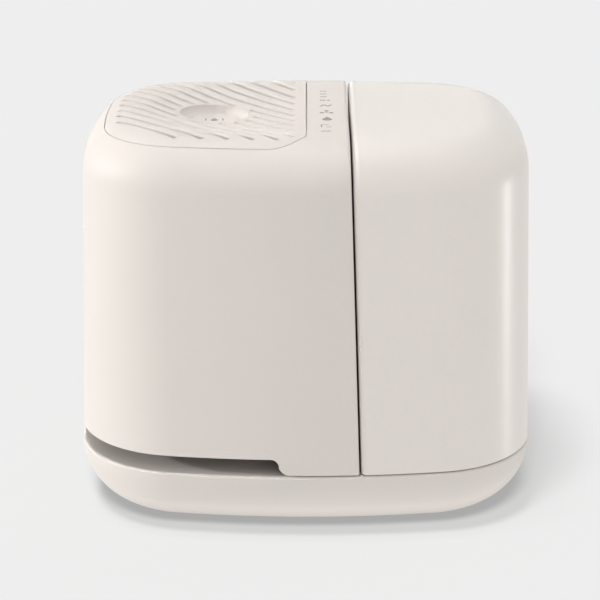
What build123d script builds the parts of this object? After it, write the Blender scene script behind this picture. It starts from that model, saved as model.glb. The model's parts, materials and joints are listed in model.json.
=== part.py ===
from build123d import *
import os
from math import atan2, cos, degrees, hypot, radians, sin, sqrt, tan

# Evaporative cool mist humidifier: fan housing on the left, lift-off water tank on the right,
# both standing on a shallow bowl-shaped base. Front is -Y, the tank is on the +X side.
# Origin: centre of the footprint on the floor. Millimetres.

# ---- overall form
HALF_WIDTH = 135.0        # outline at the rim, X
HALF_DEPTH = 98.0         # outline at the rim, Y
FRONT_RADIUS = 500.0      # bow of the front and back
SIDE_RADIUS = 400.0       # bow of the two ends
CORNER_RADIUS = 64.0      # plan corners
HEIGHT = 236.0
RIM_Z = 41.6              # top of the base
LIFT_GAP = 0.8            # shadow gap between the base and what stands on it
WALL_Z = RIM_Z + LIFT_GAP
DRAFT = 1.6               # degrees, walls lean in towards the top
TOP_ROUND = 28.0
FOOT = 1.5                # rubber feet under the base
BOWL_ROUND = 46.0         # horizontal reach of the base's rounded underside

# ---- split between housing and tank
SEAM_TOP_X = 25.0         # seam centre at the top
SEAM_SLOPE = 0.0335       # seam moves to +X going down
SEAM_GAP = 1.1
WALL = 2.5
TANK_WALL = 2.8
LIP_ROUND = 0.8           # lower edges of the housing and the tank

# ---- air intake under the housing
INTAKE_TOP = 52.3
INTAKE_END = -14.6        # X where the slot's upper edge turns down
INTAKE_R = 5.0

# ---- removable vent grille
GRILLE_INSET = 18.0
GRILLE_EDGE_X = 0.0
GRILLE_CORNER = 23.5
GRILLE_GAP = 0.55
GRILLE_T = 2.5
TROUGH_DEPTH = 4.5        # the grille is hollowed a little towards its middle
TROUGH_HALF = 62.0
TROUGH_X = -32.0
SLOT_W = 2.7
SLOT_ROUND = 0.8          # rounding of the slots' upper edges
SLOT_PITCH = 9.25
SLOT_ANGLE = 45.0         # degrees from the X axis
FIELD_INSET = 27.5        # the slots end this far inside the outline
FIELD_SHIFT = -1.8
FIELD_EDGE_X = -7.5
DISH_X = -54.0
DISH_R = 23.0             # the slots stop here
WELL_WALL_R = 15.0        # straight wall of the puck's well
WELL_ROUND = 5.0
PUCK_R = 14.2
PUCK_H = 3.5
PUCK_TOP = 228.6
CUP_WALL = 2.0

# ---- base, basin and filter
BASE_WALL = 3.0
BASIN_FLOOR = 9.0
BASIN_R = 58.0
FILTER_X = DISH_X
FILTER_R = 50.0
FILTER_BORE = 40.0
FILTER_TOP = 112.0
WELL_X = 80.0
WELL_R = 34.0
CHANNEL_HALF = 22.0
FLOAT_X = 28.0

# ---- fan
DECK_Z = 118.0
DECK_T = 3.0
LEG_X, LEG_Y, LEG_R = -30.0, 58.0, 4.0
DUCT_R = 42.0
DUCT_WALL = 2.5
DUCT_TOP = 165.0
FAN_R = 40.3
FAN_Z0, FAN_Z1 = 129.0, 156.0
HUB_R = 16.0
BLADES = 7
MOTOR_R = 16.0
SHAFT_R = 1.5

# ---- tank mouth
NECK_R = 27.7
NECK_BORE = 24.0
NECK_LOW = 27.0
CAP_R = 31.0
CAP_LOW = 22.0
CAP_FLOOR = 2.5
VALVE_TRAVEL = 3.0

# ---- power button and DC inlet on the back
BUTTON_X, BUTTON_Z, BUTTON_R = 4.0, 190.0, 7.0
JACK_X, JACK_Z = 4.0, 60.0
BUTTON_TRAVEL = 1.2

# ---- germicidal lamp board inside the housing, facing the filter
UV_X, UV_Z = 24.0, 72.0

BIG = 400.0


def vertical(radius, low, high, x=0.0, y=0.0):
    """Upright cylinder between two heights."""
    return Pos(x, y, (low + high) / 2) * Cylinder(radius, high - low)


def ring(outer, inner, low, high, x=0.0, y=0.0):
    return vertical(outer, low, high, x, y) - vertical(inner, low - 1, high + 1, x, y)


def block(x0, x1, y0, y1, z0, z1):
    centre = Pos((x0 + x1) / 2, (y0 + y1) / 2, (z0 + z1) / 2)
    return centre * Box(x1 - x0, y1 - y0, z1 - z0)


def along_y(radius, x, z, y0, y1):
    return Pos(x, (y0 + y1) / 2, z) * Rot(90, 0, 0) * Cylinder(radius, y1 - y0)


def group(solids):
    return Compound(children=list(solids))


def outline(inset=0.0):
    """Plan outline of eight tangent arcs, moved inwards by inset."""
    front = FRONT_RADIUS - inset
    side = SIDE_RADIUS - inset
    corner = CORNER_RADIUS - inset
    front_y = HALF_DEPTH - FRONT_RADIUS
    side_x = HALF_WIDTH - SIDE_RADIUS
    to_front = FRONT_RADIUS - CORNER_RADIUS
    to_side = SIDE_RADIUS - CORNER_RADIUS
    span = hypot(side_x, front_y)
    along = (to_front**2 - to_side**2 + span**2) / (2 * span)
    across = sqrt(to_front**2 - along**2)
    ux, uy = side_x / span, -front_y / span
    corner_x = ux * along + uy * across
    corner_y = front_y + uy * along - ux * across
    if corner_x < 0:
        corner_x = ux * along - uy * across
        corner_y = front_y + uy * along + ux * across
    a_side = degrees(atan2(corner_y, corner_x - side_x))
    a_front = degrees(atan2(corner_y - front_y, corner_x))
    edges = [
        CenterArc((side_x, 0), side, -a_side, 2 * a_side),
        CenterArc((corner_x, corner_y), corner, a_side, a_front - a_side),
        CenterArc((0, front_y), front, a_front, 180 - 2 * a_front),
        CenterArc((-corner_x, corner_y), corner, 180 - a_front, a_front - a_side),
        CenterArc((-side_x, 0), side, 180 - a_side, 2 * a_side),
        CenterArc((-corner_x, -corner_y), corner, 180 + a_side, a_front - a_side),
        CenterArc((0, -front_y), front, 180 + a_front, 180 - 2 * a_front),
        CenterArc((corner_x, -corner_y), corner, 360 - a_front, a_front - a_side),
    ]
    return make_face(Wire(edges).edges())


def prism(face, low, high):
    return extrude(Pos(0, 0, low) * face, high - low)


def upper_form(inset=0.0):
    """Drafted body with the big top rounding, moved inwards by inset on the sides and the top."""
    body = extrude(Pos(0, 0, WALL_Z) * outline(inset), HEIGHT - inset - WALL_Z, taper=DRAFT)
    top = body.faces().sort_by(Axis.Z)[-1]
    return fillet(top.edges(), TOP_ROUND - inset)


def bowl_form(inset=0.0):
    """Base bowl: a rounded slab squashed in height, so that its rounding is an ellipse."""
    reach = BOWL_ROUND - inset
    lip = 2.0
    squash = (RIM_Z - FOOT - inset) / (reach + lip)
    slab = extrude(outline(inset), -(reach + lip))
    under = slab.faces().sort_by(Axis.Z)[0]
    slab = fillet(under.edges(), reach)
    return Pos(0, 0, RIM_Z) * scale(slab, by=(1, 1, squash))


def seam_side(shift, left):
    """Half space on one side of the slanted seam; shift moves its face along X."""
    x_low = SEAM_TOP_X + SEAM_SLOPE * (HEIGHT + 2.0) + shift
    x_high = SEAM_TOP_X - SEAM_SLOPE * (BIG - HEIGHT - 2.0) + shift
    far = -BIG if left else BIG
    face = make_face(Polyline((x_low, 0), (x_high, BIG), (far, BIG), (far, 0), close=True).edges())
    return extrude(Plane.XZ.offset(-BIG) * face, 2 * BIG)


def seam_x(z, shift=0.0):
    return SEAM_TOP_X + SEAM_SLOPE * (HEIGHT + 2.0 - z) + shift


def wall_y(z, inset=0.0):
    """Y of the back wall at x = 0."""
    return HALF_DEPTH - inset - (z - WALL_Z) * tan(radians(DRAFT))


def grille_outline(grow=0.0):
    """D-shaped plan of the grille: follows the body, straight beside the icon strip."""
    edge = GRILLE_EDGE_X + grow
    overrun = 2.0
    half = outline(GRILLE_INSET - grow) & (Pos(edge + overrun - BIG / 2, 0) * Rectangle(BIG, BIG))
    corners = half.vertices().sort_by(Axis.X)[-2:]
    half = fillet(corners, GRILLE_CORNER + grow)
    return half & (Pos(edge - BIG / 2, 0) * Rectangle(BIG, BIG))


def trough(depth=0.0):
    """Tool for the shallow hollow of the grille: half a sphere end and a cylinder running to +X."""
    radius = trough_radius()
    centre_z = HEIGHT - TROUGH_DEPTH + radius
    run = 60.0
    ball = Pos(TROUGH_X, 0, centre_z) * Rot(90, 0, 0) * Sphere(radius + depth)
    barrel = Pos(TROUGH_X + run / 2, 0, centre_z) * Rot(0, 90, 0) * Cylinder(radius + depth, run)
    near = block(-BIG, TROUGH_X + run, -BIG, BIG, HEIGHT - 40, HEIGHT + 40)
    return (ball & near) + (barrel & near)


def under_grille(depth):
    """Space below the grille, depth under its top skin."""
    return upper_form(depth) - trough(depth)


# ---------------------------------------------------------------- base

def basin_plan(grow=0.0):
    plan = Pos(FILTER_X, 0) * Circle(BASIN_R + grow)
    plan += Pos(WELL_X, 0) * Circle(WELL_R + grow)
    plan += Pos((FILTER_X + WELL_X) / 2, 0) * Rectangle(WELL_X - FILTER_X, 2 * (CHANNEL_HALF + grow))
    return plan


def base_tray():
    """Bowl with a flat deck and a water basin let into it, open underneath."""
    bowl = bowl_form()
    rim = bowl.faces().sort_by(Axis.Z)[-1]
    bowl = fillet(rim.edges(), 1.2)
    hollow = bowl_form(BASE_WALL) & block(-BIG, BIG, -BIG, BIG, 0, RIM_Z - BASE_WALL)
    opening = prism(outline(BOWL_ROUND + 6.0), -1, 10)
    hollow += opening
    pocket = prism(basin_plan(2.5), BASIN_FLOOR - 2.5, RIM_Z)
    bosses = [vertical(3.5, 5.0, BASIN_FLOOR, x, y) for x, y in plate_screw_places()]
    tray = bowl - hollow + (pocket & bowl_form(0.5))
    for boss in bosses:
        tray += boss
    tray -= prism(basin_plan(), BASIN_FLOOR, RIM_Z) & bowl_form(BASE_WALL)
    tray -= prism(basin_plan(), RIM_Z - BASE_WALL - 1, RIM_Z + 5)
    for x, y in plate_screw_places():
        tray -= vertical(1.25, 4.0, BASIN_FLOOR - 1.5, x, y)
    return tray


def plate_screw_places():
    return [(-70.0, -30.0), (-70.0, 30.0), (62.0, -22.0), (62.0, 22.0)]


def bottom_plate():
    plate = prism(outline(BOWL_ROUND + 6.4), FOOT, FOOT + 2.5)
    for x, y in plate_screw_places():
        plate -= vertical(1.6, FOOT - 1, FOOT + 4, x, y)
        plate -= vertical(3.2, FOOT - 1, FOOT + 1.4, x, y)
    return plate


def base_feet():
    return group(vertical(8.0, 0, FOOT, x, y) for x in (-52.0, 52.0) for y in (-33.0, 33.0))


def screw(x, y, head_low, head_r, head_h, shank_r, length):
    """Screw driven upwards, head below, with a cross recess."""
    body = vertical(head_r, head_low, head_low + head_h, x, y)
    body += vertical(shank_r, head_low + head_h, head_low + head_h + length, x, y)
    for wide, deep in ((2.6, 0.6), (0.6, 2.6)):
        body -= Pos(x, y, head_low) * Box(wide, deep, 1.6)
    return body


def bottom_screws():
    return group(screw(x, y, FOOT + 0.1, 2.8, 1.3, 1.25, 4.4) for x, y in plate_screw_places())


def valve_pin():
    """Fixed post that holds the tank's valve open."""
    post = vertical(2.4, BASIN_FLOOR, CAP_LOW - 2.05, WELL_X)
    foot = vertical(6.0, BASIN_FLOOR, BASIN_FLOOR + 2.0, WELL_X)
    return fillet((post + foot).edges().sort_by(Axis.Z)[-1:], 0.6)


def filter_bottom_ring():
    base = ring(FILTER_R + 2, FILTER_BORE - 2, BASIN_FLOOR, BASIN_FLOOR + 2, FILTER_X)
    lip = ring(FILTER_R + 2, FILTER_R + 0.5, BASIN_FLOOR, BASIN_FLOOR + 6, FILTER_X)
    return base + lip


def filter_media():
    return ring(FILTER_R, FILTER_BORE, BASIN_FLOOR + 2, FILTER_TOP, FILTER_X)


def filter_top_ring():
    base = ring(FILTER_R + 2, FILTER_BORE - 2, FILTER_TOP, FILTER_TOP + 2, FILTER_X)
    lip = ring(FILTER_R + 2, FILTER_R + 0.5, FILTER_TOP - 4, FILTER_TOP + 2, FILTER_X)
    return base + lip


def filter_gasket():
    return ring(FILTER_R - 2, FILTER_BORE + 3, FILTER_TOP + 2, DECK_Z - 0.4, FILTER_X)


def float_post():
    return vertical(1.5, BASIN_FLOOR, 38.0, FLOAT_X)


def level_float():
    body = vertical(11.0, BASIN_FLOOR + 1.0, BASIN_FLOOR + 11.0, FLOAT_X)
    body = fillet(body.edges(), 1.5)
    body -= vertical(1.56, 0, 40, FLOAT_X)
    return body - ring(6.05, 3.95, BASIN_FLOOR + 8.0, BASIN_FLOOR + 12.0, FLOAT_X)


def float_magnet():
    return ring(6.0, 4.0, BASIN_FLOOR + 8.0, BASIN_FLOOR + 11.0, FLOAT_X)


# ---------------------------------------------------------------- housing

def intake_cut():
    """Slot profile in XZ: square top, S-shaped right end."""
    low = RIM_Z - 2
    mid = (INTAKE_TOP + RIM_Z) / 2
    shape = Polyline((-BIG, low), (-BIG, INTAKE_TOP), (INTAKE_END - INTAKE_R, INTAKE_TOP))
    shape += RadiusArc((INTAKE_END - INTAKE_R, INTAKE_TOP), (INTAKE_END - 0.7, mid), INTAKE_R)
    shape += RadiusArc((INTAKE_END - 0.7, mid), (INTAKE_END + 6.5, WALL_Z - 0.1), -INTAKE_R * 1.6)
    shape += Polyline((INTAKE_END + 6.5, WALL_Z - 0.1), (INTAKE_END + 6.5, low), (-BIG, low))
    return extrude(Plane.XZ.offset(-BIG) * make_face(shape.edges()), 2 * BIG)


def deck_screw_places():
    return [(-60.0, -85.5), (-60.0, 85.5), (-126.5, 0.0), (21.5, -45.0), (21.5, 45.0)]


def board_screw_places():
    return [(x, y) for x in (7.5, 17.5) for y in (-48.0, 48.0)]


def housing_shell():
    outer = upper_form() & seam_side(-SEAM_GAP / 2, left=True)
    seam = outer.faces().sort_by(Axis.X)[-1]
    outer = fillet(seam.edges().filter_by(lambda e: e.center().Z > WALL_Z + 1), 1.6)
    outer = fillet(outer.faces().sort_by(Axis.Z)[0].edges(), LIP_ROUND)
    inner = upper_form(WALL) & seam_side(-SEAM_GAP / 2 - WALL, left=True)
    bosses = [vertical(4.0, DECK_Z + DECK_T, 145.0, x, y) for x, y in deck_screw_places()]
    bosses += [vertical(3.0, 224.6, HEIGHT - 1, x, y) for x, y in board_screw_places()]
    shell = outer - inner
    for boss in bosses:
        shell += boss & outer
    below = under_grille(2 * GRILLE_T)
    seat = under_grille(GRILLE_T) - below
    ledge = prism(grille_outline(3.0), 200, HEIGHT + 5) - prism(grille_outline(-5.0), 190, HEIGHT + 9)
    shell -= prism(grille_outline(GRILLE_GAP), 200, HEIGHT + 5)
    shell += seat & ledge
    well = prism(grille_outline(GRILLE_GAP + 2.2), 200, HEIGHT + 5)
    well -= prism(grille_outline(GRILLE_GAP), 190, HEIGHT + 9)
    shell += (well & outer) - below
    shell -= intake_cut()
    for x, y in deck_screw_places():
        shell -= vertical(1.25, DECK_Z, 138.0, x, y)
    for x, y in board_screw_places():
        shell -= vertical(1.05, 224, 231.0, x, y)
    shell -= along_y(BUTTON_R + 0.3, BUTTON_X, BUTTON_Z, 60, 120)
    shell -= along_y(5.6, JACK_X, JACK_Z, 60, 120)
    return shell


def fan_deck():
    """Plate across the housing that carries the fan duct, on two legs down to the base."""
    inset = WALL + 0.3 + (DECK_Z + DECK_T - WALL_Z) * tan(radians(DRAFT))
    deck = prism(outline(inset), DECK_Z, DECK_Z + DECK_T) & seam_side(-SEAM_GAP / 2 - WALL - 0.3, True)
    deck += ring(DUCT_R + DUCT_WALL, DUCT_R, DECK_Z, DUCT_TOP, FILTER_X)
    for y in (-LEG_Y, LEG_Y):
        deck += vertical(LEG_R, RIM_Z, DECK_Z + 1, LEG_X, y)
    deck -= vertical(DUCT_R, DECK_Z - 1, DUCT_TOP + 1, FILTER_X)
    for x, y in deck_screw_places():
        deck -= vertical(1.6, DECK_Z - 1, DECK_Z + 5, x, y)
    return deck


def deck_screws():
    return group(screw(x, y, DECK_Z - 1.8, 2.8, 1.8, 1.25, 12.0) for x, y in deck_screw_places())


def fan_blade():
    """One swept blade standing between the hub and the tip circle."""
    low, high = FAN_Z0 + 1, FAN_Z1 - 1
    root = Plane((HUB_R - 1, 0, (low + high) / 2), x_dir=(0, 1, 0), z_dir=(1, 0, 0))
    tip = Plane((FAN_R - 3, 0, (low + high) / 2), x_dir=(0, 1, 0), z_dir=(1, 0, 0))
    chord = high - low
    inner = root * Rot(0, 0, 38) * Rectangle(2.0, chord * 1.02)
    outer = tip * Rot(0, 0, 55) * Rectangle(1.6, chord * 1.25)
    return loft([inner, outer])


def fan_impeller():
    hub = vertical(HUB_R, FAN_Z0, FAN_Z1, 0)
    hub = fillet(hub.edges().sort_by(Axis.Z)[:1], 5.0)
    body = hub
    for i in range(BLADES):
        body += Rot(0, 0, 360 / BLADES * i) * fan_blade()
    body &= vertical(FAN_R, FAN_Z0, FAN_Z1)
    body -= vertical(HUB_R - 2.5, FAN_Z0 + 8, FAN_Z1 + 1)
    body += vertical(4.0, FAN_Z0 + 2, FAN_Z1 - 2)
    body -= vertical(SHAFT_R, FAN_Z0 - 1, FAN_Z1 + 1)
    return Pos(FILTER_X, 0, 0) * body


def fan_shaft():
    return vertical(SHAFT_R, FAN_Z0 + 1.0, DUCT_TOP + 21.5, FILTER_X)


def motor_bracket():
    """Spider that hangs the motor over the duct."""
    low, high = DUCT_TOP, DUCT_TOP + 3
    body = ring(DUCT_R + DUCT_WALL, DUCT_R, low, high, FILTER_X)
    for i in range(3):
        arm = block(MOTOR_R - 5, DUCT_R + 1, -3, 3, low, high)
        body += Pos(FILTER_X, 0, 0) * Rot(0, 0, 60 + 120 * i) * arm
    body += vertical(MOTOR_R, low, high, FILTER_X)
    return body - vertical(4.0, low - 1, high + 1, FILTER_X)


def fan_motor():
    low = DUCT_TOP + 3
    body = vertical(MOTOR_R, low, low + 21, FILTER_X)
    body = fillet(body.edges().sort_by(Axis.Z)[-1:], 2.0)
    body -= vertical(5.05, low - 1, low + 19, FILTER_X)
    return body


def motor_bearings():
    low = DUCT_TOP + 3
    return group(ring(5.0, SHAFT_R + 0.05, z, z + 4, FILTER_X) for z in (low + 0.5, low + 14.0))


def bracket_screws():
    radius = DUCT_R + DUCT_WALL / 2
    places = [(FILTER_X + radius * cos(radians(a)), radius * sin(radians(a))) for a in (0, 120, 240)]
    low = DUCT_TOP + 3
    return group(vertical(1.9, low, low + 1.6, x, y) for x, y in places)


def control_board():
    board = block(4.5, 20.5, -56, 56, 223.0, 224.6)
    for x, y in board_screw_places():
        board -= vertical(1.3, 220, 226, x, y)
    chips = [block(8, 16, y - 4, y + 4, 221.4, 223.0) for y in (-30, -12, 18)]
    for chip in chips:
        board += chip
    return board


def board_screws():
    return group(screw(x, y, 221.6, 2.2, 1.4, 1.05, 5.0) for x, y in board_screw_places())


def status_leds():
    return group(block(9.5, 12.5, y - 1.5, y + 1.5, 224.6, 226.2) for y in range(-40, 41, 20))


def light_guide():
    bar = block(8.0, 14.0, -44, 44, 227.0, HEIGHT - WALL)
    for y in (-30, -10, 10, 30):
        bar -= block(7, 15, y - 1, y + 1, 226, 231)
    return bar


def uv_board():
    return block(UV_X - 1.6, UV_X, -10, 10, UV_Z - 12, UV_Z + 12)


def uv_lamps():
    lamp = Rot(0, 90, 0) * Cylinder(2.5, 2.4)
    return group(Pos(UV_X - 2.8, y, UV_Z) * lamp for y in (-5, 5))


def uv_bracket():
    """Holder between the lamp board and the seam wall."""
    wall_x = seam_x(UV_Z + 12, -SEAM_GAP / 2 - WALL) - 0.05
    return block(UV_X, wall_x, -8, 8, UV_Z - 10, UV_Z + 10) - block(0, BIG, -5, 5, UV_Z - 6, UV_Z + 6)


def housing_pads():
    """Two pads under the seam wall that stand on the base."""
    wall_x = seam_x(WALL_Z, -SEAM_GAP / 2)
    return group(block(wall_x - 2.1, wall_x - 0.4, y - 10, y + 10, RIM_Z, WALL_Z) for y in (-55, 55))


def power_button():
    y = wall_y(BUTTON_Z)
    cap = along_y(BUTTON_R, BUTTON_X, BUTTON_Z, y - 4.5, y + 0.8)
    cap = fillet(cap.edges().sort_by(Axis.Y)[-1:], 0.8)
    return cap + along_y(1.8, BUTTON_X, BUTTON_Z, y - 7.0, y - 4.4)


def button_switch():
    y = wall_y(BUTTON_Z) - 7.0 - BUTTON_TRAVEL - 0.3
    body = block(BUTTON_X - 3, BUTTON_X + 3, y - 3.5, y, BUTTON_Z - 3, BUTTON_Z + 3)
    return body + block(BUTTON_X - 8, BUTTON_X + 8, y - 5.1, y - 3.5, BUTTON_Z - 9, BUTTON_Z + 9)


def switch_posts():
    y = wall_y(BUTTON_Z) - 7.0 - BUTTON_TRAVEL - 0.3 - 3.5
    posts = []
    for dx in (-6.5, 6.5):
        for dz in (-7.5, 7.5):
            high = wall_y(BUTTON_Z + dz + 1.5) - WALL - 0.15
            posts.append(along_y(1.4, BUTTON_X + dx, BUTTON_Z + dz, y, high))
    return group(posts)


def dc_jack():
    y = wall_y(JACK_Z)
    body = along_y(5.5, JACK_X, JACK_Z, y - 13, y - 0.2)
    flange = along_y(7.0, JACK_X, JACK_Z, y - 13, y - WALL - 0.3)
    body = body + flange - along_y(2.75, JACK_X, JACK_Z, y - 11, y + 1)
    return body + along_y(1.0, JACK_X, JACK_Z, y - 12, y - 2.5)


# ---------------------------------------------------------------- grille

def slot_lines():
    """Straight runs of the diagonal slots, cut short by the field's edge and by the dish."""
    along = Vector(cos(radians(SLOT_ANGLE)), -sin(radians(SLOT_ANGLE)), 0)
    across = Vector(sin(radians(SLOT_ANGLE)), cos(radians(SLOT_ANGLE)), 0)
    field = Pos(FIELD_SHIFT, 0) * outline(FIELD_INSET)
    field &= Pos(FIELD_EDGE_X - BIG / 2, 0) * Rectangle(BIG, BIG)
    field -= Pos(DISH_X, 0) * Circle(DISH_R + SLOT_W / 2)
    centre = Vector(DISH_X, 0, 0)
    runs = []
    for i in range(-8, 10):
        middle = centre + across * (SLOT_PITCH * (i + 0.5))
        line = Line(middle - along * BIG, middle + along * BIG)
        for part in (field & line).edges():
            if part.length > 1.0:
                runs.append((part.center(), part.length))
    return runs


def trough_radius():
    return (TROUGH_HALF**2 + TROUGH_DEPTH**2) / (2 * TROUGH_DEPTH)


def funnel():
    """Tool for the soft rim of the well; its axis is square to the hollowed plate, so it blends all round."""
    radius = trough_radius()
    centre = Vector(TROUGH_X, 0, HEIGHT - TROUGH_DEPTH + radius)
    foot = Vector(DISH_X, 0, centre.Z - sqrt(radius**2 - (DISH_X - TROUGH_X) ** 2))
    reach = WELL_WALL_R + 0.3 + WELL_ROUND
    rise = radius - sqrt(radius**2 - reach**2)
    inner = (reach - WELL_ROUND, rise - WELL_ROUND)
    profile = Polyline(inner, (0, inner[1]), (0, 6), (reach, 6), (reach, rise))
    profile += RadiusArc((reach, rise), inner, WELL_ROUND)
    tool = revolve(Plane.XZ * make_face(profile.edges()), Axis.Z)
    return Plane(foot, x_dir=(0, 1, 0), z_dir=centre - foot) * tool


def skin_z(x, y):
    """Height of the grille's upper skin."""
    radius = trough_radius()
    run = min(0.0, x - TROUGH_X)
    return min(HEIGHT, HEIGHT - TROUGH_DEPTH + radius - sqrt(radius**2 - run**2 - y**2))


def vent_grille():
    """Hollowed plate with rounded diagonal slots and a soft-edged well for the puck."""
    solid = prism(grille_outline(), 200, HEIGHT + 5) & upper_form()
    solid -= trough()
    solid -= under_grille(GRILLE_T)
    floor = PUCK_TOP - PUCK_H
    rim = WELL_WALL_R + WELL_ROUND
    cup = [(0, 231), (rim + 1, 231), (rim + 1, 229), (WELL_WALL_R + CUP_WALL + 1, floor + 1)]
    cup += [(WELL_WALL_R + CUP_WALL, floor - CUP_WALL), (0, floor - CUP_WALL)]
    solid += turned(cup)
    solid -= vertical(WELL_WALL_R, floor, HEIGHT, DISH_X)
    solid -= funnel()
    runs = slot_lines()
    for middle, length in runs:
        shape = Pos(middle.X, middle.Y) * Rot(0, 0, -SLOT_ANGLE) * SlotCenterToCenter(length, SLOT_W)
        solid -= prism(shape, 215, HEIGHT + 5)
    return fillet([edge for edge in solid.edges() if on_slot_rim(edge, runs)], SLOT_ROUND)


def on_slot_rim(edge, runs):
    """True for an edge on the upper skin, half a slot's width from a slot's centre line."""
    spot = edge @ 0.5
    if abs(spot.Z - skin_z(spot.X, spot.Y)) > 0.05:
        return False
    turn = radians(SLOT_ANGLE)
    for middle, length in runs:
        along = (spot.X - middle.X) * cos(turn) - (spot.Y - middle.Y) * sin(turn)
        across = (spot.X - middle.X) * sin(turn) + (spot.Y - middle.Y) * cos(turn)
        beyond = max(0.0, abs(along) - length / 2)
        if abs(hypot(beyond, across) - SLOT_W / 2) < 0.02:
            return True
    return False


def turned(points):
    """Solid of revolution about the dish axis."""
    profile = make_face(Polyline(*points, close=True).edges())
    return Pos(DISH_X, 0, 0) * revolve(Plane.XZ * profile, Axis.Z)


def aroma_puck():
    body = vertical(PUCK_R, PUCK_TOP - PUCK_H, PUCK_TOP, DISH_X)
    return fillet(body.edges().sort_by(Axis.Z)[-1:], 0.8)


# ---------------------------------------------------------------- tank

def tank_shell():
    outer = upper_form() & seam_side(SEAM_GAP / 2, left=False)
    seam = outer.faces().sort_by(Axis.X)[0]
    outer = fillet(seam.edges().filter_by(lambda e: e.center().Z > WALL_Z + 1), 3.6)
    outer = fillet(outer.faces().sort_by(Axis.Z)[0].edges(), LIP_ROUND)
    inner = upper_form(TANK_WALL) & seam_side(SEAM_GAP / 2 + TANK_WALL, left=False)
    return outer - inner


def tank_floor():
    """Floor welded into the tank's lower edge, with the screw neck for the cap."""
    inset = TANK_WALL
    floor = prism(outline(inset), WALL_Z, WALL_Z + 3) & upper_form(inset)
    floor &= seam_side(SEAM_GAP / 2 + TANK_WALL, left=False)
    floor += vertical(NECK_R, NECK_LOW, WALL_Z + 1, WELL_X)
    return floor - vertical(NECK_BORE, NECK_LOW - 1, WALL_Z + 5, WELL_X)


def tank_pads():
    """Three pads under the tank that stand on the base."""
    places = [(48.0, -62.0), (48.0, 62.0), (118.0, 0.0)]
    return group(vertical(5.0, RIM_Z, WALL_Z, x, y) for x, y in places)


def tank_cap():
    low = CAP_LOW
    body = vertical(CAP_R, low, WALL_Z - 2.5, WELL_X)
    body = fillet(body.edges().sort_by(Axis.Z)[:1], 1.5)
    body -= vertical(NECK_R + 0.3, low + CAP_FLOOR, WALL_Z, WELL_X)
    body -= vertical(6.0, low - 1, low + 5, WELL_X)
    body += ring(8.0, 6.0, low, low + 4.0, WELL_X)
    for i in range(18):
        rib = vertical(0.9, low + 3, WALL_Z - 4, CAP_R)
        body += Pos(WELL_X, 0, 0) * Rot(0, 0, 20 * i) * rib
    for i in range(3):
        post = vertical(1.5, low + 1, 43.0, 10.4)
        body += Pos(WELL_X, 0, 0) * Rot(0, 0, 120 * i) * post
    body += ring(12.6, 3.1, 41.0, 44.0, WELL_X)
    return body


def cap_seal():
    return ring(NECK_R + 0.1, NECK_BORE + 0.2, CAP_LOW + CAP_FLOOR, NECK_LOW, WELL_X)


def valve_plunger():
    """Stem with the valve disc, held up off its seat by the post in the base."""
    body = vertical(3.0, CAP_LOW - 2.0, 43.5, WELL_X)
    return body + vertical(7.5, 30.6, 32.0, WELL_X)


def valve_seal():
    return ring(8.4, 3.0, CAP_LOW + 4.0 + VALVE_TRAVEL + 0.1, 30.6, WELL_X)


def valve_spring():
    low, high = 32.4, 40.6
    path = Helix(pitch=(high - low) / 4, height=high - low, radius=5.4)
    wire = sweep(Plane(path @ 0, z_dir=path % 0) * Circle(0.4), path=path)
    return Pos(WELL_X, 0, low) * wire


PARTS = [
    base_tray, bottom_plate, base_feet, bottom_screws, valve_pin, filter_bottom_ring, filter_media,
    filter_top_ring, filter_gasket, float_post, level_float, float_magnet, housing_shell, fan_deck,
    deck_screws, fan_impeller, fan_shaft, motor_bracket, fan_motor, motor_bearings, bracket_screws,
    control_board, board_screws, status_leds, light_guide, uv_board, uv_lamps, uv_bracket,
    housing_pads, power_button, button_switch, switch_posts, dc_jack, vent_grille, aroma_puck,
    tank_shell, tank_floor, tank_pads, tank_cap, cap_seal, valve_plunger, valve_seal, valve_spring,
]

os.makedirs("parts", exist_ok=True)
for make in PARTS:
    made = make()
    export_step(made, os.path.join("parts", make.__name__ + ".step"))
    print(make.__name__, round(made.volume / 1000, 2), "cm3")
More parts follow.
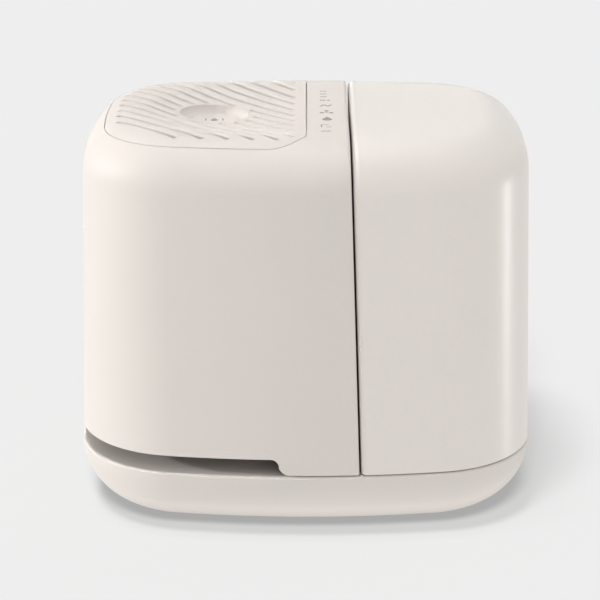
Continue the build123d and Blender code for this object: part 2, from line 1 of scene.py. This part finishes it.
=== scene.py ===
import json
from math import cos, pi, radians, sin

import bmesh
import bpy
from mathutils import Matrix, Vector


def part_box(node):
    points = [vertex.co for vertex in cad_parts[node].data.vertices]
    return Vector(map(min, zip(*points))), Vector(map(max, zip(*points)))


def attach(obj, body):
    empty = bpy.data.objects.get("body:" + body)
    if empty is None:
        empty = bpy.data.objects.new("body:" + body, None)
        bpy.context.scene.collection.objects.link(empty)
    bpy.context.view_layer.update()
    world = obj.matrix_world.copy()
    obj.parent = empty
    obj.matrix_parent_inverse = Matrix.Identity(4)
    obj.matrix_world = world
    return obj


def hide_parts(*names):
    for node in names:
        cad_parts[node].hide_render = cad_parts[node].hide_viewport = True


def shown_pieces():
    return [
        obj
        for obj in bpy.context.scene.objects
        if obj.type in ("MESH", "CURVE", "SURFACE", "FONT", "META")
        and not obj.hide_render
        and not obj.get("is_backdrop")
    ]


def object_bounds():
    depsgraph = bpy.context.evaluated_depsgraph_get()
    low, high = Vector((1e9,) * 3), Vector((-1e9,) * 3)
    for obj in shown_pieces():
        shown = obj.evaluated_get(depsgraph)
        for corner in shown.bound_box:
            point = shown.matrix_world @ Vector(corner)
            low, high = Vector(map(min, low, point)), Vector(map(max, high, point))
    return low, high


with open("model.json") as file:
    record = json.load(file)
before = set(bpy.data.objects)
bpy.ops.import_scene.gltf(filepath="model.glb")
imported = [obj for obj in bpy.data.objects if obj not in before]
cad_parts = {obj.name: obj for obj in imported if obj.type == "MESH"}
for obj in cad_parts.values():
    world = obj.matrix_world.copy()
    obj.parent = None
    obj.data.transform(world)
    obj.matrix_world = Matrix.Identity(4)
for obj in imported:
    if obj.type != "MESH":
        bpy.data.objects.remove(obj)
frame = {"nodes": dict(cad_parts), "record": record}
CAD_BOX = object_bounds()

# %% [markdown]
# ## A cool mist humidifier in a white studio
# The engineering model already holds every part at its real size: a fan housing, a water tank and
# a rounded base. What it lacks is the way the real thing looks. This script adds that: the satin
# and matt of moulded plastic, the pleats of the filter, the printed marks, the light of a white
# studio. Each section first says what the real piece is, then how it is made here.

MM = 0.001
record = frame["record"]
nodes = frame["nodes"]
low, high = CAD_BOX
size = high - low
print("object is", [round(s / MM, 1) for s in size], "mm")

# %% [markdown]
# ## Writing shader maths as sums
# A procedural material is a small calculation done at every point of the surface. Wiring Math nodes
# by hand hides the sum that is being done. A thin wrapper round a socket lets the sum be written as
# Python: `1 - mask * 0.3` adds the Math nodes for it.


# %% A socket that can be added and multiplied
class Value:
    """Wraps a number socket; an expression on it adds Math nodes."""

    def __init__(self, paint, socket):
        self.paint = paint
        self.socket = socket

    def _math(self, operation, first, second):
        return self.paint.node("ShaderNodeMath", {"operation": operation}, {0: first, 1: second})[0]

    def __add__(self, other):
        return self._math("ADD", self, other)

    def __radd__(self, other):
        return self._math("ADD", other, self)

    def __sub__(self, other):
        return self._math("SUBTRACT", self, other)

    def __rsub__(self, other):
        return self._math("SUBTRACT", other, self)

    def __mul__(self, other):
        return self._math("MULTIPLY", self, other)

    def __rmul__(self, other):
        return self._math("MULTIPLY", other, self)

    def over(self, limit):
        """1 where the value is above the limit, 0 elsewhere."""
        return self._math("GREATER_THAN", self, limit)

    def under(self, limit):
        """1 where the value is below the limit, 0 elsewhere."""
        return self._math("LESS_THAN", self, limit)


class Paint:
    """One material: node() adds any node, mix() and noise() the common ones."""

    def __init__(self, name):
        self.material = bpy.data.materials.new(name)
        self.material.use_nodes = True
        self.tree = self.material.node_tree
        self.shader = self.tree.nodes["Principled BSDF"]
        self.place = self.node("ShaderNodeTexCoord", {}, {})["Object"]

    def node(self, kind, settings, inputs):
        """Adds a node: settings first, then its inputs. Returns its outputs, wrapped."""
        made = self.tree.nodes.new(kind)
        for key, value in settings.items():
            setattr(made, key, value)
        for key, value in inputs.items():
            self.feed(made.inputs[key], value)
        return Outputs(self, made)

    def feed(self, socket, value):
        if isinstance(value, Value):
            self.tree.links.new(value.socket, socket)
        else:
            socket.default_value = value

    def noise(self, scale, detail=2.0, roughness=0.5):
        found = self.node("ShaderNodeTexNoise", {}, {
            "Vector": self.place, "Scale": scale, "Detail": detail, "Roughness": roughness})
        return found[0]

    def mix(self, factor, first, second):
        """A colour between two colours."""
        made = self.node("ShaderNodeMix", {"data_type": "RGBA"}, {0: factor, 6: first, 7: second})
        return made[2]

    def bump(self, height, strength, distance):
        made = self.node("ShaderNodeBump", {}, {
            "Height": height, "Strength": strength, "Distance": distance})
        self.feed(self.shader.inputs["Normal"], made[0])

    def set(self, **inputs):
        """Feeds the main shader; an underscore in a name stands for a space."""
        for key, value in inputs.items():
            self.feed(self.shader.inputs[key.replace("_", " ")], value)
        return self


class Outputs:
    """A node's outputs, by number or by name, each wrapped as a Value."""

    def __init__(self, paint, made):
        self.paint = paint
        self.made = made

    def __getitem__(self, key):
        return Value(self.paint, self.made.outputs[key])


def rgb(red, green, blue):
    return (red, green, blue, 1.0)


# %% [markdown]
# ## Warm off-white plastic, matt and satin
# Housing, grille and base are moulded in one warm off-white resin. The mould is lightly sparked, so
# the surface has a fine grain under a tenth of a millimetre deep that spreads highlights. The tank is
# the same resin from a polished mould, so reflections stay tighter. Real mouldings are never quite
# even, so colour and roughness drift slowly over a few centimetres.

# %% Cream resin
HOUSING_RESIN = (0.735, 0.684, 0.636)
TANK_RESIN = (0.805, 0.751, 0.699)


def cream(name, resin, roughness, grain, coat):
    paint = Paint(name)
    drift = paint.noise(14.0, 2.0)
    fine = paint.noise(2600.0, 1.0, 0.6)
    shade = rgb(*(c * 0.972 for c in resin))
    paint.set(Base_Color=paint.mix(drift, shade, rgb(*resin)))
    paint.set(Roughness=roughness - 0.04 + drift * 0.05 + fine * 0.03)
    paint.set(Coat_Weight=coat, Coat_Roughness=0.18, IOR=1.46)
    paint.bump(fine + paint.noise(420.0, 2.0) * 0.5, grain, 0.00006)
    return paint.material


cream_matte = cream("cream_matte", HOUSING_RESIN, 0.52, 0.5, 0.0)
cream_gloss = cream("cream_gloss", TANK_RESIN, 0.34, 0.12, 0.25)
print("cream resin in two finishes")

# %% [markdown]
# ## The hidden materials
# Inside are the things that any small appliance has: white nylon, black fan plastic, grey silicone,
# plated screws, a green circuit board. Each gets the one trait that tells it apart: the sheen and
# mould grain of nylon, the brushed lines of plate, the copper tracks under a board's lacquer.


# %% White, black and rubber
def moulded(name, colour, darker, roughness, scale=900.0, depth=0.00004):
    """A plain moulding with a fine grain and a slow drift of tone."""
    paint = Paint(name)
    drift = paint.noise(30.0, 3.0)
    fine = paint.noise(scale, 2.0)
    paint.set(Base_Color=paint.mix(drift, darker, colour))
    paint.set(Roughness=roughness - 0.05 + fine * 0.1, IOR=1.47)
    paint.bump(fine, 0.4, depth)
    return paint.material


white_plastic = moulded("white_plastic", rgb(0.8, 0.8, 0.77), rgb(0.72, 0.72, 0.69), 0.42)
fan_black = moulded("fan_black", rgb(0.030, 0.030, 0.033), rgb(0.018, 0.018, 0.020), 0.46)
rubber_grey = moulded("rubber_grey", rgb(0.16, 0.155, 0.15), rgb(0.11, 0.11, 0.105), 0.7, 500.0, 0.0001)
magnet_dark = moulded("magnet_dark", rgb(0.07, 0.07, 0.075), rgb(0.04, 0.04, 0.045), 0.5, 1500.0)


# %% Metals
def metal(name, colour, roughness, stretch):
    """Plate or drawn metal: noise pulled out along one way makes the tool lines."""
    paint = Paint(name)
    pulled = paint.node("ShaderNodeMapping", {}, {"Vector": paint.place, "Scale": stretch})[0]
    lines = paint.node("ShaderNodeTexNoise", {}, {"Vector": pulled, "Scale": 400.0, "Detail": 3.0})[0]
    tone = tuple(c * 0.8 for c in colour[:3]) + (1.0,)
    paint.set(Base_Color=paint.mix(lines, tone, colour), Metallic=1.0)
    paint.set(Roughness=roughness + lines * 0.15)
    paint.bump(lines, 0.15, 0.00003)
    return paint.material


steel = metal("steel", rgb(0.62, 0.62, 0.60), 0.26, (1, 1, 6))
motor_steel = metal("motor_steel", rgb(0.55, 0.55, 0.56), 0.3, (0.2, 0.2, 6))
brass_sleeve = metal("brass_sleeve", rgb(0.72, 0.50, 0.24), 0.34, (1, 1, 4))


# %% Circuit board, milky light guide, filter paper, unglazed puck
def board():
    """Green lacquer over copper tracks: the tracks are the cells of a blocky pattern."""
    paint = Paint("board_green")
    cells = paint.node("ShaderNodeTexVoronoi", {"distance": "MANHATTAN"}, {
        "Vector": paint.place, "Scale": 420.0})["Distance"]
    track = cells.over(0.42)
    paint.set(Base_Color=paint.mix(track, rgb(0.015, 0.11, 0.05), rgb(0.04, 0.20, 0.08)))
    paint.set(Roughness=0.32 + paint.noise(300.0) * 0.1, Coat_Weight=0.3, Coat_Roughness=0.15)
    paint.bump(track, 0.5, 0.00004)
    return paint.material


def milky():
    paint = Paint("led_clear")
    cloud = paint.noise(220.0, 3.0)
    paint.set(Base_Color=paint.mix(cloud, rgb(0.72, 0.76, 0.75), rgb(0.85, 0.87, 0.86)))
    paint.set(Roughness=0.2 + cloud * 0.15, Subsurface_Weight=0.3, Subsurface_Scale=0.002)
    return paint.material


def paper():
    """Wicking paper: long fibres pressed flat, slightly yellow where they bunch."""
    paint = Paint("filter_paper")
    fibre = paint.noise(900.0, 5.0, 0.7)
    blotch = paint.noise(60.0, 3.0)
    paint.set(Base_Color=paint.mix(blotch, rgb(0.74, 0.71, 0.62), rgb(0.84, 0.82, 0.75)))
    paint.set(Roughness=0.85 + fibre * 0.1)
    paint.bump(fibre, 0.7, 0.0002)
    return paint.material


def unglazed():
    """Fired clay disc: pin pores and a chalky surface that drinks oil."""
    paint = Paint("puck_ceramic")
    pores = paint.node("ShaderNodeTexVoronoi", {}, {"Vector": paint.place, "Scale": 1500.0})["Distance"]
    pit = pores.under(0.22)
    drift = paint.noise(120.0, 3.0)
    paint.set(Base_Color=paint.mix(drift, rgb(0.70, 0.655, 0.61), rgb(0.78, 0.735, 0.69)))
    paint.set(Roughness=0.8 + drift * 0.1)
    paint.bump(drift - pit * 0.6, 0.5, 0.00012)
    return paint.material


board_green = board()
led_clear = milky()
filter_paper = paper()
puck_ceramic = unglazed()

# %% Every carried-over part takes the finish named in its record
FINISHES = {
    "cream_matte": cream_matte, "cream_gloss": cream_gloss, "white_plastic": white_plastic,
    "rubber_grey": rubber_grey, "steel": steel, "motor_steel": motor_steel,
    "brass_sleeve": brass_sleeve, "fan_black": fan_black, "board_green": board_green,
    "led_clear": led_clear, "filter_paper": filter_paper, "puck_ceramic": puck_ceramic,
    "magnet_dark": magnet_dark,
}
for row in record["subparts"]:
    part = nodes[row["node"]]
    part.data.materials.clear()
    part.data.materials.append(FINISHES[row["material_slot"]])
print(len(record["subparts"]), "parts painted")

# %% [markdown]
# ## The pleated filter
# The wick that the water climbs is one long strip of paper, folded like an accordion and bent round
# into a ring. The engineering model holds its plain envelope. A zigzag line drawn round a circle,
# pulled upwards and given the thickness of paper makes the folds; rounding each crease first keeps
# them from looking like cut metal.

# %% Pleated paper
PLEATS = 64
PAPER = 0.5 * MM
CREASE = 0.7 * MM
CLEAR = 0.4 * MM
DEPTH = 9.2 * MM
ring_low, ring_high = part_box("filter_media")
ring_middle = (ring_low + ring_high) / 2
OUTER = (ring_high.y - ring_low.y) / 2 - CLEAR
INNER = OUTER - DEPTH


def put(name, mesh, material, body):
    """Closes a bmesh into an object that belongs to a body and has one finish."""
    bmesh.ops.recalc_face_normals(mesh, faces=mesh.faces[:])
    data = bpy.data.meshes.new(name)
    mesh.to_mesh(data)
    mesh.free()
    data.materials.append(material)
    piece = bpy.data.objects.new(name, data)
    bpy.context.scene.collection.objects.link(piece)
    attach(piece, body)
    return piece


def pleated():
    """A zigzag ring, pulled up into a wall, creased softly and thickened."""
    mesh = bmesh.new()
    corners = []
    for fold in range(2 * PLEATS):
        radius = OUTER if fold % 2 else INNER
        angle = pi * fold / PLEATS
        out = Vector((radius * cos(angle), radius * sin(angle), ring_low.z - ring_middle.z))
        corners.append(mesh.verts.new(ring_middle + out))
    line = [mesh.edges.new((a, b)) for a, b in zip(corners, corners[1:] + corners[:1])]
    wall = bmesh.ops.extrude_edge_only(mesh, edges=line)["geom"]
    lifted = [v for v in wall if isinstance(v, bmesh.types.BMVert)]
    bmesh.ops.translate(mesh, vec=(0, 0, ring_high.z - ring_low.z), verts=lifted)
    creases = [e for e in mesh.edges if abs(e.verts[0].co.z - e.verts[1].co.z) > PAPER]
    bmesh.ops.bevel(
        mesh, geom=creases, offset=CREASE, segments=3, profile=0.5, affect="EDGES", material=-1)
    bmesh.ops.recalc_face_normals(mesh, faces=mesh.faces[:])
    bmesh.ops.solidify(mesh, geom=mesh.faces[:], thickness=PAPER)
    return mesh


pleats = put("filter_pleats", pleated(), filter_paper, "base")
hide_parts("filter_media")
print(PLEATS, "pleats,", len(pleats.data.polygons), "faces")

# %% [markdown]
# ## Printed marks
# A line of small symbols runs from back to front on top of the housing, beside the vent: bars for the
# fan speed, a ring, a wave, a little fan, a drop. They are pad printed, a film of warm grey ink a few
# hundredths of a millimetre thick. Such a film is easiest as very thin solids: flat strokes drawn with
# bars, arcs and dots, then raised together. The signs here are plain ones with no wording. The button
# behind carries the usual broken ring with a bar, and the scent puck a drop.

# %% Ink and three strokes
INK = 0.03 * MM


def printing():
    paint = Paint("printed_ink")
    patch = paint.noise(800.0, 2.0)
    paint.set(Base_Color=paint.mix(patch, rgb(0.25, 0.22, 0.195), rgb(0.33, 0.295, 0.265)))
    paint.set(Roughness=0.5 + patch * 0.1)
    return paint.material


def bar(mesh, x, y, length, width, turn=0.0):
    """A straight stroke about (x, y), in millimetres."""
    place = Matrix.Translation((x * MM, y * MM, 0)) @ Matrix.Rotation(radians(turn), 4, "Z")
    place = place @ Matrix.Diagonal((length * MM, width * MM, 1, 1))
    bmesh.ops.create_grid(mesh, x_segments=1, y_segments=1, size=0.5, matrix=place)


def dot(mesh, x, y, radius):
    place = Matrix.Translation((x * MM, y * MM, 0))
    bmesh.ops.create_circle(mesh, cap_ends=True, segments=24, radius=radius * MM, matrix=place)


def arc(mesh, x, y, radius, width, start=0.0, sweep=360.0):
    """A curved stroke: a short line across it is spun about the centre."""
    centre = Vector((x * MM, y * MM, 0))
    way = Vector((cos(radians(start)), sin(radians(start)), 0))
    ends = [mesh.verts.new(centre + way * (r * MM)) for r in (radius - width, radius)]
    across = mesh.edges.new(ends)
    bmesh.ops.spin(
        mesh, geom=ends + [across], cent=centre, axis=(0, 0, 1), angle=radians(sweep),
        steps=int(sweep / 12), use_merge=sweep == 360.0)


def drop(mesh, x, y, radius):
    """A round belly, from ten o'clock down and round to two o'clock, that runs to a point."""
    outline = [(x, y + 2.1 * radius)]
    for angle in range(150, 391, 15):
        outline.append((x + radius * cos(radians(angle)), y + radius * sin(radians(angle))))
    mesh.faces.new([mesh.verts.new((across * MM, up * MM, 0)) for across, up in outline])


printed_ink = printing()


# %% The marks themselves
def strip(mesh):
    """From back to front: three speeds, ring and dot, wave, fan, drop, bracket, bar (in mm)."""
    for y in (50, 43, 36):
        bar(mesh, 1.9, y, 4.0, 1.3)
    arc(mesh, 1.4, 27, 1.7, 0.7)
    dot(mesh, 4.8, 27, 1.0)
    for x, turn in ((1.0, 62), (3.2, -62), (5.4, 62)):
        bar(mesh, x, 14, 4.8, 1.1, turn)
    fan_x, fan_y, blade = 3.5, -2, 3.1
    dot(mesh, fan_x, fan_y, 1.0)
    for turn in (90, 210, 330):
        dot(mesh, fan_x + blade * cos(radians(turn)), fan_y + blade * sin(radians(turn)), 1.4)
    drop(mesh, 3.7, -19, 2.9)
    bar(mesh, 0.4, -34, 0.8, 6.0)
    bar(mesh, 2.7, -31.4, 3.8, 0.9)
    bar(mesh, 4.6, -36.4, 3.0, 0.9)
    bar(mesh, 2.9, -46, 5.6, 1.3)


def scent(mesh):
    """A drop between two bars."""
    drop(mesh, 0.0, -1.2, 2.2)
    for x in (-5.0, 5.0):
        bar(mesh, x, 0.0, 5.0, 0.8, 90.0)


def power(mesh):
    """A ring open at the top, with a bar through the gap."""
    arc(mesh, 0.0, 0.0, 2.7, 0.5, 125.0, 288.0)
    bar(mesh, 0.0, 2.2, 0.5, 2.4)


def printed(name, draw, body, place):
    """Draws flat strokes, raises them to a film of ink and lays them on the part."""
    mesh = bmesh.new()
    draw(mesh)
    film = bmesh.ops.extrude_face_region(mesh, geom=mesh.faces[:])["geom"]
    raised = [v for v in film if isinstance(v, bmesh.types.BMVert)]
    bmesh.ops.translate(mesh, vec=(0, 0, INK), verts=raised)
    bmesh.ops.transform(mesh, matrix=place, verts=mesh.verts[:])
    return put(name, mesh, printed_ink, body)


STRIP_X = 8.5 * MM
STRIP_Y = -9.5 * MM
puck_low, puck_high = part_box("aroma_puck")
button_low, button_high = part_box("power_button")
on_top = Matrix.Translation((STRIP_X, STRIP_Y, high.z))
on_puck = Matrix.Translation(((puck_low.x + puck_high.x) / 2, 0, puck_high.z))
button_x = (button_low.x + button_high.x) / 2
button_z = (button_low.z + button_high.z) / 2
# Seen from behind: to the right is -X, up is Z and out of the face is +Y.
on_button = Matrix(((-1, 0, 0, button_x), (0, 0, 1, button_high.y), (0, 1, 0, button_z), (0, 0, 0, 1)))
marks = [
    printed("mark_strip", strip, "housing", on_top),
    printed("mark_scent", scent, "aroma_puck", on_puck),
    printed("mark_power", power, "power_button", on_button)]
print([(mark.name, len(mark.data.polygons)) for mark in marks])

# %% [markdown]
# ## A white studio
# The object stands in a white cove: floor and walls the same pale grey, light from everywhere, and
# a few lamps that give the form its shading. A hard one low on the left rakes across the rounded end
# and reaches in under the raised edge of the housing. A wide one stands near the camera and evens out
# the front. One overhead, a little to the left, lays the small shadow on the right. A bright card
# behind on the right shows only as the upright gleam on the corner of the glossy tank.
# The floor glows by itself, as a lit cove does, and has two lamps of its own. One from the front
# lights it up to the base; one from above on the left lays the short soft shadow on the right. The
# glow is what is left of the backdrop's brightness once the lamps have had their share.

# %% Floor and air
# How much of each floor lamp a level floor gets is the cosine of the lamp's lean.
BACKDROP = 0.855
FLOOR_TONE = 0.13
AIR = 0.72
RAKE, FILL, TOP, CARD = 0.50, 0.22, 0.27, 0.095
FRONT, SIDE = 2.3, 1.4
FLOOR_GLOW = BACKDROP - FLOOR_TONE * (AIR + 0.98 * TOP + 0.706 * FRONT + 0.927 * SIDE)
floor_mesh = bpy.data.meshes.new("floor")
COVE_RADIUS = 9.0
cove = bmesh.new()
bmesh.ops.create_circle(cove, cap_ends=True, radius=COVE_RADIUS, segments=64)
cove.to_mesh(floor_mesh)
cove.free()
floor = bpy.data.objects.new("floor", floor_mesh)
bpy.context.scene.collection.objects.link(floor)
floor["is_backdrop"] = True
floor_paint = Paint("studio_floor")
floor_paint.set(Base_Color=rgb(FLOOR_TONE, FLOOR_TONE, FLOOR_TONE), Roughness=0.9)
floor_paint.set(Specular_IOR_Level=0.0, Emission_Color=rgb(1, 1, 1), Emission_Strength=FLOOR_GLOW)
floor_mesh.materials.append(floor_paint.material)

world = bpy.data.worlds.new("studio_air")
world.use_nodes = True
air = world.node_tree.nodes["Background"]
air.inputs["Color"].default_value = rgb(1.0, 1.0, 1.0)
air.inputs["Strength"].default_value = AIR
bpy.context.scene.world = world
bpy.context.scene.view_settings.view_transform = "Standard"


# %% Lamps
def sun(name, toward, strength, spread):
    """A distant lamp shining along the given direction; spread is its apparent width in degrees."""
    lamp = bpy.data.lights.new(name, "SUN")
    lamp.energy = strength * pi
    lamp.angle = radians(spread)
    holder = bpy.data.objects.new(name, lamp)
    bpy.context.scene.collection.objects.link(holder)
    holder.rotation_euler = Vector(toward).to_track_quat("-Z", "Y").to_euler()
    return holder


rake = sun("rake_left", (1.0, 0.0, -0.28), RAKE, 3.0)
fill = sun("fill_front", (-0.10, 1.0, 0.35), FILL, 60.0)
sun("top_soft", (0.17, 0.06, -1.0), TOP, 12.0)
floor_front = sun("floor_front", (0.06, 1.0, -1.0), FRONT, 14.0)
floor_side = sun("floor_side", (0.2, 0.35, -1.0), SIDE, 12.0)
card = sun("card_right", (-0.936, -0.160, 0.24), CARD, 9.0)
card.visible_diffuse = False

# %% Camera
# The lens is long, so that the edges stay nearly parallel, and looks down a little.
PITCH = 18.74
LENS = 135.0
DISTANCE = 1.3625
AIM = Vector((-0.0035, 0.0, 0.1162))
ORBIT = Vector((0.0, 0.0, 0.1182))
eye = ORBIT + DISTANCE * Vector((0.0, -cos(radians(PITCH)), sin(radians(PITCH))))
camera_data = bpy.data.cameras.new("camera")
camera_data.lens = LENS
camera_data.clip_end = 60.0
camera = bpy.data.objects.new("camera", camera_data)
camera.location = eye
camera.rotation_euler = (AIM - eye).to_track_quat("-Z", "Y").to_euler()
bpy.context.scene.collection.objects.link(camera)
bpy.context.scene.camera = camera

# %% The raking lamp, the fill and the card are flagged off the floor
lit = bpy.data.collections.new("lit_by_flagged_lamps")
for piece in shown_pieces():
    lit.objects.link(piece)
for lamp in (rake, fill, card):
    lamp.light_linking.receiver_collection = lit
for lamp in (fill, card):
    lamp.light_linking.blocker_collection = lit
ground = bpy.data.collections.new("lit_by_floor_lamps")
ground.objects.link(floor)
for lamp in (floor_front, floor_side):
    lamp.light_linking.receiver_collection = ground
